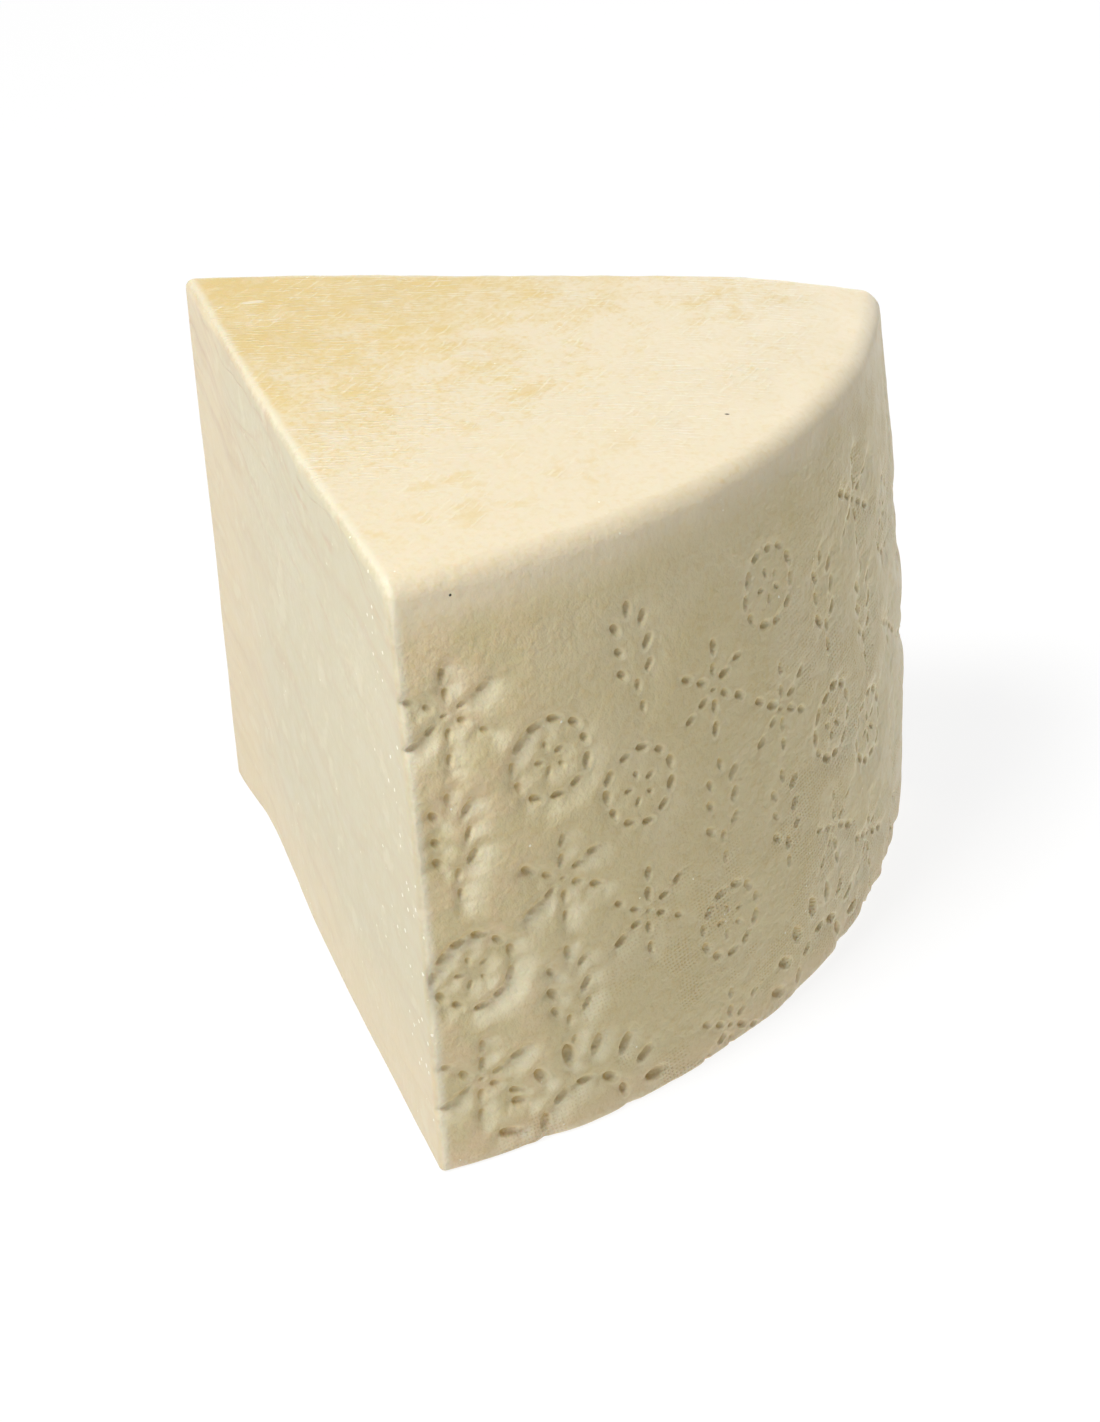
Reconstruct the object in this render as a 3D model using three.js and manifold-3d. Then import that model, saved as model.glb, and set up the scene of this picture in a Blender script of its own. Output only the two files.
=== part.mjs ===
// A chunk of hard sheep's-milk cheese: one sector of a tall drum-shaped wheel, cut down from the flat top
// and sliced off level at the wheel's waist. Its front is the wheel's side, with its rounded rim and the
// punched marks that a marking band leaves; the two sides and the base are knife cuts.
//
// Millimetres, +Z up. The part rests on its cut base at z = 0, with the origin in the middle of its box.
// The punched front faces -Y, and the upright edge that was the wheel's axis points to +Y.

import * as THREE from "three";
import { mergeVertices } from "three/addons/utils/BufferGeometryUtils.js";
import Module from "manifold-3d";

// ---- Driving dimensions ----
const WHEEL_RADIUS = 155; // at the waist, which is where the base was cut
const CHUNK_HEIGHT = 124.5; // from the cut base to the wheel's flat top
const SECTOR = THREE.MathUtils.degToRad(65.5); // the angle between the two upright cuts
const BARREL_DROP = 8.2; // how much smaller the wheel's radius is at the top than at the waist
const RIM_RADIUS = 9; // rounding between the flat top and the side
const AXIS_EDGE_RADIUS = 2; // wear on the upright edge where the two cuts meet
const CUT_BOW = 1.2; // how far a knife cut bows out, halfway along it

const COLUMN_PITCH = 20; // between columns of marks, along the side
const ROW_PITCH = 26; // between marks in one column
const TOP_ROW = 96; // height of the highest marks
const DOT_LENGTH = 3.4;
const DOT_WIDTH = 1.9;
const DOT_DEPTH = 1.5;
const MOTIF_RADIUS = 7.8; // of a rosette's or a star's outer ring
const SUNFLOWER_RADIUS = 17; // of the large marks along the foot, which the base cuts in two
const SUNFLOWER_HEIGHT = 1; // of their middles above the base
const SUNFLOWERS_ALONG = [-58, 12]; // where they stand along the side
const SUNFLOWER_CLEARANCE = 27; // no other mark's middle comes nearer to theirs

// ---- Facets ----
const FACETS_IN_SECTOR = 24;
const SIDE_STEPS = 10;
const RIM_STEPS = 5;
const BOW_STEPS = 6;

// ---- Worked out ----
const HALF_SECTOR = SECTOR / 2;
const AXIS_EDGE_SETBACK = AXIS_EDGE_RADIUS * (1 / Math.sin(HALF_SECTOR) - 1);
const AXIS_Y = (WHEEL_RADIUS + AXIS_EDGE_SETBACK) / 2; // puts the box's middle at y = 0
const PRISM_OVERLAP = 5; // how far the wedge between the cuts reaches past the wheel, above and below
const PRISM_REACH = WHEEL_RADIUS * 1.4; // and how far out from the axis

const wasm = await Module();
wasm.setup();

// A three.js geometry as a solid that can be joined and cut.
function solidOf(geometry) {
  const bare = geometry.index ? geometry.toNonIndexed() : geometry.clone();
  bare.deleteAttribute("normal");
  bare.deleteAttribute("uv");
  const merged = mergeVertices(bare, 1e-4);
  const corners = merged.index.array;
  const triangles = [];
  for (let i = 0; i < corners.length; i += 3) {
    const [a, b, c] = [corners[i], corners[i + 1], corners[i + 2]];
    if (a !== b && b !== c && c !== a) triangles.push(a, b, c);
  }
  return new wasm.Manifold(
    new wasm.Mesh({
      numProp: 3,
      vertProperties: merged.attributes.position.array,
      triVerts: new Uint32Array(triangles),
    }),
  );
}

// A solid as a three.js geometry again, with flat facets.
function geometryOf(solid) {
  const mesh = solid.getMesh();
  const geometry = new THREE.BufferGeometry();
  geometry.setAttribute("position", new THREE.BufferAttribute(mesh.vertProperties, 3));
  geometry.setIndex(new THREE.BufferAttribute(mesh.triVerts, 1));
  const faceted = geometry.toNonIndexed();
  faceted.computeVertexNormals();
  return faceted;
}

// The wheel's radius at a height: widest at the waist, and falling away as the square of the height.
function wheelRadius(z) {
  return WHEEL_RADIUS - BARREL_DROP * (z / CHUNK_HEIGHT) ** 2;
}

// The upper half of the wheel, spun from its side profile: base, barrel side, rounded rim, flat top.
function wheelHalf() {
  const rimStart = CHUNK_HEIGHT - RIM_RADIUS;
  const profile = [new THREE.Vector2(0, 0)];
  for (let i = 0; i <= SIDE_STEPS; i += 1) {
    const z = (rimStart * i) / SIDE_STEPS;
    profile.push(new THREE.Vector2(wheelRadius(z), z));
  }
  const rimCentre = wheelRadius(rimStart) - RIM_RADIUS;
  for (let i = 1; i <= RIM_STEPS; i += 1) {
    const turn = ((Math.PI / 2) * i) / RIM_STEPS;
    profile.push(
      new THREE.Vector2(
        rimCentre + RIM_RADIUS * Math.cos(turn),
        rimStart + RIM_RADIUS * Math.sin(turn),
      ),
    );
  }
  profile.push(new THREE.Vector2(0, CHUNK_HEIGHT));
  const facets = Math.round((FACETS_IN_SECTOR * 2 * Math.PI) / SECTOR);
  const spun = new THREE.LatheGeometry(profile, facets);
  spun.rotateX(Math.PI / 2);
  return solidOf(spun);
}

// The wedge of space between the two upright knife cuts, as a prism taller and longer than the wheel.
function knifeCuts() {
  const sine = Math.sin(HALF_SECTOR);
  const cosine = Math.cos(HALF_SECTOR);
  const rimCorner = new THREE.Vector2(WHEEL_RADIUS * sine, -WHEEL_RADIUS * cosine);
  const outwards = new THREE.Vector2(cosine, sine);
  const bow = rimCorner.clone().multiplyScalar(0.5).addScaledVector(outwards, 2 * CUT_BOW);
  const edgeCentre = -AXIS_EDGE_RADIUS / sine;
  const outline = new THREE.Shape();
  outline.absarc(0, edgeCentre, AXIS_EDGE_RADIUS, HALF_SECTOR, Math.PI - HALF_SECTOR, false);
  outline.quadraticCurveTo(-bow.x, bow.y, -rimCorner.x, rimCorner.y);
  outline.lineTo(-PRISM_REACH * sine, -PRISM_REACH * cosine);
  outline.lineTo(PRISM_REACH * sine, -PRISM_REACH * cosine);
  outline.lineTo(rimCorner.x, rimCorner.y);
  outline.quadraticCurveTo(bow.x, bow.y, AXIS_EDGE_RADIUS * cosine, edgeCentre + AXIS_EDGE_RADIUS * sine);
  const prism = new THREE.ExtrudeGeometry(outline, {
    depth: CHUNK_HEIGHT + 2 * PRISM_OVERLAP,
    bevelEnabled: false,
    curveSegments: BOW_STEPS,
  });
  prism.translate(0, 0, -PRISM_OVERLAP);
  return solidOf(prism);
}

// ---- The punched marks ----
// A dot is { along, up, turn, size }: its place on the unrolled side, in millimetres from the motif's
// middle, the angle of its long axis from the horizontal, and its size against a full dot.

const ALONG_THE_RING = Math.PI / 2;
const POINTING_OUT = 0;

// Dots spaced evenly round a ring, the first one half a step from the horizontal, each turned by `lean`
// from its own spoke.
function ring(count, radius, lean, size) {
  return Array.from({ length: count }, (_, i) => {
    const spoke = (2 * Math.PI * (i + 0.5)) / count;
    return { along: radius * Math.cos(spoke), up: radius * Math.sin(spoke), turn: spoke + lean, size };
  });
}

// An open flower: long dots end to end round the outside, small ones inside.
function rosette() {
  const petals = 11;
  const stamens = 5;
  const stamenRadius = MOTIF_RADIUS * 0.36;
  return [
    ...ring(petals, MOTIF_RADIUS, ALONG_THE_RING, 1),
    ...ring(stamens, stamenRadius, POINTING_OUT, 0.7),
  ];
}

// A star: a small middle dot and rays of two dots each.
function star() {
  const rays = 6;
  const middle = { along: 0, up: 0, turn: 0, size: 0.6 };
  const inner = ring(rays, MOTIF_RADIUS * 0.48, POINTING_OUT, 0.9);
  const outer = ring(rays, MOTIF_RADIUS * 1.06, POINTING_OUT, 0.9);
  return [middle, ...inner, ...outer];
}

// A sunflower: large petals that point outwards, round a ring of seeds.
function sunflower() {
  const petals = 16;
  const seeds = 10;
  const seedRadius = SUNFLOWER_RADIUS * 0.55;
  return [
    ...ring(petals, SUNFLOWER_RADIUS, POINTING_OUT, 1.5),
    ...ring(seeds, seedRadius, ALONG_THE_RING, 1.2),
  ];
}

// An ear of wheat: a stalk of upright dots, pairs of slanted grains and one grain at the tip.
function wheatEar() {
  const upright = Math.PI / 2;
  const stalkHeights = [-9.5, -5];
  const grainHeights = [-2.2, 2.6, 7.4];
  const tipHeight = 10.6;
  const grainOut = 3.4;
  const grainTurn = THREE.MathUtils.degToRad(52);
  const stalk = stalkHeights.map((up) => ({ along: 0, up, turn: upright, size: 0.9 }));
  const grains = grainHeights.flatMap((up) => [
    { along: grainOut, up, turn: grainTurn, size: 1 },
    { along: -grainOut, up, turn: Math.PI - grainTurn, size: 1 },
  ]);
  return [...stalk, ...grains, { along: 0, up: tipHeight, turn: upright, size: 1 }];
}

// A motif's dots, moved to its place on the side.
function placed(motif, alongMiddle, upMiddle) {
  return motif.map((dot) => ({ ...dot, along: dot.along + alongMiddle, up: dot.up + upMiddle }));
}

// Every dot on the side: columns of motifs that take turns, each second column half a row lower, and the
// sunflowers along the foot. Dots that would lie mostly below the base are left out.
function punchedDots() {
  const motifs = [rosette(), wheatEar(), star()];
  const columnsEachWay = Math.ceil((WHEEL_RADIUS * HALF_SECTOR) / COLUMN_PITCH);
  const rows = Math.ceil(TOP_ROW / ROW_PITCH) + 1;
  const dots = SUNFLOWERS_ALONG.flatMap((along) => placed(sunflower(), along, SUNFLOWER_HEIGHT));
  for (let column = -columnsEachWay; column <= columnsEachWay; column += 1) {
    const along = column * COLUMN_PITCH;
    const drop = column % 2 === 0 ? 0 : ROW_PITCH / 2;
    for (let row = 0; row < rows; row += 1) {
      const up = TOP_ROW - drop - row * ROW_PITCH;
      const kind = (column + 2 * row + motifs.length * columnsEachWay) % motifs.length;
      const isClear = SUNFLOWERS_ALONG.every(
        (middle) => Math.hypot(along - middle, up - SUNFLOWER_HEIGHT) > SUNFLOWER_CLEARANCE,
      );
      if (isClear) dots.push(...placed(motifs[kind], along, up));
    }
  }
  return dots.filter((dot) => dot.up > -DOT_LENGTH / 2);
}

// One dot as the tool that punches it: a double pyramid, half of it inside the wheel's side.
function punch({ along, up, turn, size }) {
  const tool = new THREE.OctahedronGeometry(1);
  tool.scale((DOT_LENGTH / 2) * size, DOT_DEPTH * size, (DOT_WIDTH / 2) * size);
  const around = along / WHEEL_RADIUS;
  const outward = new THREE.Vector3(Math.sin(around), -Math.cos(around), 0);
  const sideways = new THREE.Vector3(Math.cos(around), Math.sin(around), 0);
  const upward = new THREE.Vector3(0, 0, 1);
  const lengthwise = sideways
    .clone()
    .multiplyScalar(Math.cos(turn))
    .addScaledVector(upward, Math.sin(turn));
  const across = new THREE.Vector3().crossVectors(lengthwise, outward);
  const place = new THREE.Matrix4().makeBasis(lengthwise, outward, across);
  place.setPosition(outward.clone().multiplyScalar(wheelRadius(up)).setZ(up));
  return solidOf(tool.applyMatrix4(place));
}

function cheeseChunk() {
  const marks = wasm.Manifold.union(punchedDots().map(punch));
  const solid = wheelHalf().intersect(knifeCuts()).subtract(marks);
  const paste = new THREE.MeshStandardMaterial({ color: 0xe3d7b4, roughness: 0.55, metalness: 0 });
  const chunk = new THREE.Mesh(geometryOf(solid), paste);
  chunk.name = "cheese_chunk";
  chunk.position.y = AXIS_Y;
  return chunk;
}

const part = new THREE.Group();
part.add(cheeseChunk());

export default part;
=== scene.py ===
# The looks of a chunk of hard sheep's-milk cheese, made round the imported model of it: one worn wedge with
# its punched rind, cloth-printed top and waxy knife cuts, on a white table in soft light.
import math

import bpy
import numpy as np
from bpy.props import FloatProperty, FloatVectorProperty, IntProperty, PointerProperty
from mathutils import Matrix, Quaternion, Vector


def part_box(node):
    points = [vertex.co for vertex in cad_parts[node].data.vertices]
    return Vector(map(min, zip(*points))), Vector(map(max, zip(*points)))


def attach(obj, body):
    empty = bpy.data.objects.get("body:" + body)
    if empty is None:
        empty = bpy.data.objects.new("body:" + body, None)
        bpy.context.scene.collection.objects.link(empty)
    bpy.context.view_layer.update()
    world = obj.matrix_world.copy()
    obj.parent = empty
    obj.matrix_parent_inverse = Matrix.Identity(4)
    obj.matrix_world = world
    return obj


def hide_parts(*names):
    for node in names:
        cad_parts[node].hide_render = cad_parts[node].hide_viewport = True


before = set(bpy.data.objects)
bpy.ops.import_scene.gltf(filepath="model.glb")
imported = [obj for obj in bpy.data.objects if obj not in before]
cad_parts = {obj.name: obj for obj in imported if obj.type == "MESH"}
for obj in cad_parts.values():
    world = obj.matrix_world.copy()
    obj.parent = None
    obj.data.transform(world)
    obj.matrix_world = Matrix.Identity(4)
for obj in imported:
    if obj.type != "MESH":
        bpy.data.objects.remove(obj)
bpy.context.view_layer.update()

bl_info = {
    "name": "Cheese Chunk",
    "version": (1, 0, 0),
    "blender": (4, 5, 0),
    "location": "3D View > Sidebar > Cheese",
    "description": "A chunk of hard cheese with a punched rind, and the white table it is seen on",
    "category": "Add Mesh",
}

MM = 0.001
LOW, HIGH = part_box("cheese_chunk")
HEIGHT = HIGH.z - LOW.z

# The angle between the upright cuts and the rounding of the edge between them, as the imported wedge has
# them. With its box they give the radius of the wheel and the place of its axis.
SECTOR = math.radians(65.5)
AXIS_EDGE = 2 * MM
AXIS_SETBACK = AXIS_EDGE * (1 / math.sin(SECTOR / 2) - 1)
WAIST_RADIUS = HIGH.y - LOW.y + AXIS_SETBACK
AXIS_Y = LOW.y + WAIST_RADIUS


# ---- Sizes and colours ----

def length(name, description, millimetres):
    """A size in metres, written here in millimetres."""
    return FloatProperty(
        name=name, description=description, default=millimetres * MM, unit="LENGTH", precision=5
    )


def colour(name, description, red, green, blue):
    """A colour as Blender holds it, with linear parts."""
    return FloatVectorProperty(
        name=name, description=description, default=(red, green, blue), subtype="COLOR",
        min=0, max=1,
    )


def number(name, description, default, subtype="NONE"):
    """A plain number, or one of Blender's kinds of it."""
    return FloatProperty(name=name, description=description, default=default, subtype=subtype)


def location(name, description, *metres):
    """A place in the object's frame."""
    return FloatVectorProperty(
        name=name, description=description, default=metres, subtype="XYZ", unit="LENGTH"
    )


class ChunkShape(bpy.types.PropertyGroup):
    """The wedge: the wheel that it was cut from, the cuts and the wear of its edges."""

    sector: number("Sector", "Angle between the upright cuts", SECTOR, "ANGLE")
    waist_radius: length("Waist radius", "Radius of the wheel at the base", WAIST_RADIUS / MM)
    barrel_drop: length("Barrel drop", "How much smaller the radius is at the top", 9.4)
    barrel_lean: number("Barrel lean", "How unevenly it gets smaller from left to right", 0.06)
    rim_radius: length("Rim radius", "Rounding between the top and the side", 3.7)
    cut_bow: length("Cut bow", "How far a cut bows out at its middle, at the top", 1.5)
    foot_hollow: length("Foot hollow", "How far a cut is hollowed at its foot", 1.7)
    rim_fall: length("Rim fall", "How far the top falls away towards the rim", 1.3)
    axis_edge: length("Axis edge", "Wear of the edge between the cuts", 2.2)
    front_edge: length("Front edge", "Wear of a cut's edge with the rind", 1.3)
    top_edge: length("Top edge", "Wear of a cut's edge with the top", 1.9)
    base_edge: length("Base edge", "Wear of the base's edges", 0.9)
    triangles: IntProperty(
        name="Triangles", description="What the mesh is thinned to", default=194000
    )


class PunchedMarks(bpy.types.PropertyGroup):
    """The dotted ornament that the marking band leaves in the rind."""

    column_pitch: length("Column pitch", "Between columns of motifs", 20)
    row_pitch: length("Row pitch", "Between motifs in a column", 26)
    top_row: length("Top row", "Height of the highest motifs", 96)
    motif_radius: length("Motif radius", "Of a rosette's or a star's outer ring", 7.8)
    sunflower_radius: length("Sunflower radius", "Of the large marks at the foot", 17)
    sunflower_height: length("Sunflower height", "Of their middles above the base", 1)
    dot_length: length("Dot length", "Long way across a dot", 3.0)
    dot_width: length("Dot width", "Short way across a dot", 1.75)
    dot_depth: length("Dot depth", "Depth of a dot", 0.6)
    valley_depth: length("Valley depth", "How deep the band sank in along the dots", 0.38)
    valley_width: length("Valley width", "How far that sinking reaches from a dot", 1.9)
    valley_slant: number("Valley slant", "How much further it reaches to the lower right", 0.6)


class CheeseColours(bpy.types.PropertyGroup):
    """The colours of the cheese, from the cuts to the stained top."""

    paste: colour("Paste", "The cut faces", 0.695, 0.625, 0.43)
    paste_warm: colour("Warm paste", "The cut faces, low down and by the axis", 0.775, 0.655, 0.435)
    paste_vein: colour("Veins", "Drag marks and veins on the cuts", 0.66, 0.51, 0.345)
    rind: colour("Rind", "The punched side", 0.71, 0.603, 0.342)
    rind_blush: colour("Blush", "Thin places of the rind", 0.84, 0.66, 0.42)
    # Partly painted sheen: the rind turns towards this colour to the right.
    rind_grey_and_sheen: colour("Bloom", "Greyer, drier places of the rind", 0.75, 0.66, 0.455)
    mark: colour("Marks", "Steep walls of the dots, and pores", 0.63, 0.45, 0.16)
    # Painted shade: the dots' upper left walls darken to this colour towards the right.
    mark_painted_shade: colour("Grey marks", "Steep walls of the dots in the greyer rind", 0.27, 0.215, 0.11)
    # Partly painted highlight: this pale colour also stands for light on the walls, lips and bowls that
    # face it.
    stretched: colour("Stretched", "Walls and lips that the band drew out", 0.95, 0.88, 0.63)
    top: colour("Top", "The pale flat top", 0.835, 0.728, 0.52)
    top_stain: colour("Stain", "The ochre stain on the top", 0.765, 0.59, 0.27)
    # Partly painted highlight: it makes the strip along the cuts' rounded edges paler.
    edge: colour("Edges", "The worn, clearer edges", 0.85, 0.795, 0.61)
    glint: colour("Glints", "Salt grains and crystals", 1.0, 0.955, 0.79)


class WhiteTable(bpy.types.PropertyGroup):
    """The table, the light and the camera."""

    floor_size: length("Table", "Side of the table top", 40000)
    camera_place: location("Camera place", "Where the camera stands", -0.39826, -0.33301, 0.36224)
    camera_aim: location("Camera aim", "What the camera looks at", -0.01425, -0.02754, 0.06)
    camera_roll: number("Camera roll", "Turn about the line of sight", math.radians(-2.24), "ANGLE")
    lens: number("Lens", "Focal length in millimetres", 72.65, "DISTANCE_CAMERA")
    key_power: number("Key light", "Light from overhead, a little to the left", 19, "POWER")
    key_place: location("Key place", "Where the key light hangs", -0.66, 0.13, 1.28)
    key_size: length("Key size", "Side of the key light's square", 400)
    fill_power: number("Fill light", "Large soft light from the right", 9.4, "POWER")
    fill_place: location("Fill place", "Where the fill light stands", 1.31, 0.21, 0.49)
    fill_size: length("Fill size", "Side of the fill light's square", 1200)
    sky: number("Sky", "Strength of the even light all round", 0.11)


# ---- Smooth numbers ----
# The lattice of random values repeats after so many cells.

LATTICE = 32


def smooth_step(low, high, value):
    """0 below low, 1 above high and an S-curve between them."""
    t = np.clip((value - low) / (high - low), 0, 1)
    return t * t * (3 - 2 * t)


def bell(value, width):
    """A bell curve: 1 where value is 0, and 1/e a width away from there."""
    return np.exp(-((value / width) ** 2))


def lumps(points, size, seed):
    """Smooth bumps from -1 to 1: random values at the corners of a cubic lattice, blended in each cell by
    an S-curve along each axis."""
    table = np.random.default_rng(seed).uniform(-1, 1, (LATTICE, LATTICE, LATTICE))
    place = points / size
    cell = np.floor(place).astype(int)
    inside = place - cell
    inside = inside * inside * (3 - 2 * inside)
    total = np.zeros(len(points))
    for corner in np.ndindex(2, 2, 2):
        index = (cell + corner) % LATTICE
        weight = np.prod(np.where(corner, inside, 1 - inside), axis=1)
        total += weight * table[index[:, 0], index[:, 1], index[:, 2]]
    return total


# ---- The wedge's outer shape ----

def wheel_radius(x, z, shape):
    """The wheel's radius at a height: widest at the waist, and falling away ever faster above it, a little
    more on the left than on the right."""
    drop = shape.barrel_drop * (1 - shape.barrel_lean * x / shape.waist_radius)
    return shape.waist_radius - drop * np.clip(z / HEIGHT, 0, None) ** 2


def rounded(a, b, radius):
    """Distance to what lies inside both a and b, with the edge between them rounded: past the radius the
    two distances add as the sides of a right angle."""
    corner = np.hypot(np.maximum(a + radius, 0), np.maximum(b + radius, 0))
    return np.minimum(-radius, np.maximum(a, b)) + corner


def cut_distances(points, shape):
    """How far points lie outside the left and the right upright cut. A cut is a plane through the wheel's
    axis. It bows out as a parabola from the axis to the rim, the more the higher it is. At the foot, a
    fifth of the way out from the axis, a bell curve hollows it, which starts from nothing at the axis and
    fades with the square of the height."""
    x, y, z = points.T
    half = shape.sector / 2
    along = np.abs(x) * math.sin(half) + (AXIS_Y - y) * math.cos(half)
    share = np.clip(along / shape.waist_radius, 0, 1)
    bow_at_foot = 0.2
    bow = 4 * share * (1 - share) * (bow_at_foot + (1 - bow_at_foot) * z / HEIGHT)
    hollow_middle, hollow_width = 0.2, 0.18
    hollow = smooth_step(0, 0.14, share) * bell(share - hollow_middle, hollow_width)
    hollow = hollow * (1 - z / HEIGHT) ** 2
    plane = -(AXIS_Y - y) * math.sin(half) - shape.cut_bow * bow + shape.foot_hollow * hollow
    return plane - x * math.cos(half), plane + x * math.cos(half)


def wear_of_edges(points, shape):
    """Rounding radii at points, uneven along each edge: of the rim, of a cut's edge and of the base."""
    uneven = 1 + 0.35 * lumps(points, 11 * MM, 1) + 0.2 * lumps(points, 4 * MM, 2)
    near_top = smooth_step(HEIGHT - 9 * MM, HEIGHT - 3 * MM, points[:, 2])
    rim = shape.rim_radius * (1 + 0.1 * lumps(points, 30 * MM, 3))
    cut = (shape.front_edge + (shape.top_edge - shape.front_edge) * near_top) * uneven
    base = shape.base_edge * uneven
    return rim, cut, base


def distance_outside(points, wear, shape):
    """How far points lie outside the worn wedge: the wheel's side and top, rounded together at the rim,
    then the two cuts, rounded together at the axis, then both rounded together, and the base. The top
    falls away towards the rim in an S-curve, several times as far on the right as on the left."""
    x, y, z = points.T
    rim, cut, base = wear
    out = np.hypot(x, y - AXIS_Y)
    least, more_on_right = 0.5, 2.1
    fall = least + more_on_right * smooth_step(-0.45, 0.35, x / shape.waist_radius)
    fall = shape.rim_fall * fall * smooth_step(0.7, 1.02, out / shape.waist_radius)
    skin = rounded(out - wheel_radius(x, z, shape), z + fall - HEIGHT, rim)
    left, right = cut_distances(points, shape)
    cuts = rounded(left, right, shape.axis_edge)
    return rounded(rounded(skin, cuts, cut), -z, base)


def outward(points, wear, shape):
    """The distance at points and its slope, by central differences."""
    step = 0.02 * MM
    slope = np.empty_like(points)
    for axis in range(3):
        nudge = np.zeros(3)
        nudge[axis] = step
        ahead = distance_outside(points + nudge, wear, shape)
        behind = distance_outside(points - nudge, wear, shape)
        slope[:, axis] = (ahead - behind) / (2 * step)
    return distance_outside(points, wear, shape), slope


def settled(points, shape):
    """Points moved onto the worn wedge, in four steps along the slope, each the distance divided by it."""
    wear = wear_of_edges(points, shape)
    for _ in range(4):
        distance, slope = outward(points, wear, shape)
        points = points - slope * (distance / (slope**2).sum(1))[:, None]
    return points


# ---- The punched marks ----
# A dot is a row of (along, up, turn, size): its place on the unrolled side, the angle of its long axis
# from the horizontal, and its size against a full dot.

ALONG_THE_RING = math.pi / 2
POINTING_OUT = 0
UPRIGHT = math.pi / 2
SUNFLOWERS_ALONG = (-58 * MM, 12 * MM)
SUNFLOWER_CLEARANCE = 27 * MM


def ring(count, radius, lean, size):
    """Dots spaced evenly round a ring, the first half a step from the horizontal, each turned by lean from
    its own spoke."""
    spoke = math.tau * (np.arange(count) + 0.5) / count
    rows = [radius * np.cos(spoke), radius * np.sin(spoke), spoke + lean, np.full(count, size)]
    return np.stack(rows, axis=1)


def rosette(marks):
    """An open flower: long dots end to end round the outside, small ones inside."""
    petals = ring(11, marks.motif_radius, ALONG_THE_RING, 1)
    stamens = ring(5, marks.motif_radius * 0.36, POINTING_OUT, 0.7)
    return np.concatenate([petals, stamens])


def star(marks):
    """A small middle dot and rays of two dots each."""
    middle = np.array([[0, 0, 0, 0.6]])
    inner = ring(6, marks.motif_radius * 0.48, POINTING_OUT, 0.9)
    outer = ring(6, marks.motif_radius * 1.06, POINTING_OUT, 0.9)
    return np.concatenate([middle, inner, outer])


def sunflower(marks):
    """Large petals that point outwards, round a ring of seeds."""
    petals = ring(16, marks.sunflower_radius, POINTING_OUT, 1.5)
    seeds = ring(10, marks.sunflower_radius * 0.55, ALONG_THE_RING, 1.2)
    return np.concatenate([petals, seeds])


def wheat_ear():
    """A stalk of upright dots, pairs of slanted grains and one grain at the tip."""
    grain_out = 3.4 * MM
    grain_turn = math.radians(52)
    stalk = [(0, up * MM, UPRIGHT, 0.9) for up in (-9.5, -5)]
    right = [(grain_out, up * MM, grain_turn, 1) for up in (-2.2, 2.6, 7.4)]
    left = [(-grain_out, up, math.pi - grain_turn, 1) for _, up, _, _ in right]
    return np.array([*stalk, *right, *left, (0, 10.6 * MM, UPRIGHT, 1)])


def pressed(motif, along, up, chance):
    """A motif's dots at its place on the side, a little turned, shifted and uneven, as by hand. Each dot
    gets a fifth number, its depth against a full dot's."""
    turn = chance.normal(0, math.radians(3.5))
    cosine, sine = math.cos(turn), math.sin(turn)
    dots = np.concatenate([motif, np.ones((len(motif), 1))], axis=1)
    across, high = motif[:, 0].copy(), motif[:, 1].copy()
    dots[:, 0] = along + across * cosine - high * sine + chance.normal(0, 0.5 * MM)
    dots[:, 1] = up + across * sine + high * cosine + chance.normal(0, 0.5 * MM)
    dots[:, :2] += chance.normal(0, 0.18 * MM, (len(motif), 2))
    dots[:, 2] += turn + chance.normal(0, math.radians(7), len(motif))
    dots[:, 3] *= chance.uniform(0.86, 1.14, len(motif))
    dots[:, 4] = chance.uniform(0.75, 1.1) * chance.uniform(0.7, 1.15, len(motif))
    return dots


def punched_dots(marks, shape):
    """Every dot on the side: columns of motifs that take turns, each second column half a row lower, and
    the sunflowers along the foot."""
    chance = np.random.default_rng(11)
    motifs = [rosette(marks), wheat_ear(), star(marks)]
    columns_each_way = math.ceil(shape.waist_radius * shape.sector / 2 / marks.column_pitch)
    rows = math.ceil(marks.top_row / marks.row_pitch) + 1
    dots = [
        pressed(sunflower(marks), along, marks.sunflower_height, chance)
        for along in SUNFLOWERS_ALONG
    ]
    for column in range(-columns_each_way, columns_each_way + 1):
        along = column * marks.column_pitch
        drop = marks.row_pitch / 2 if column % 2 else 0
        for row in range(rows):
            up = marks.top_row - drop - row * marks.row_pitch
            kind = (column + 2 * row) % len(motifs)
            gaps = [math.hypot(along - m, up - marks.sunflower_height) for m in SUNFLOWERS_ALONG]
            if min(gaps) > SUNFLOWER_CLEARANCE:
                dots.append(pressed(motifs[kind], along, up, chance))
    return np.concatenate(dots)


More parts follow.
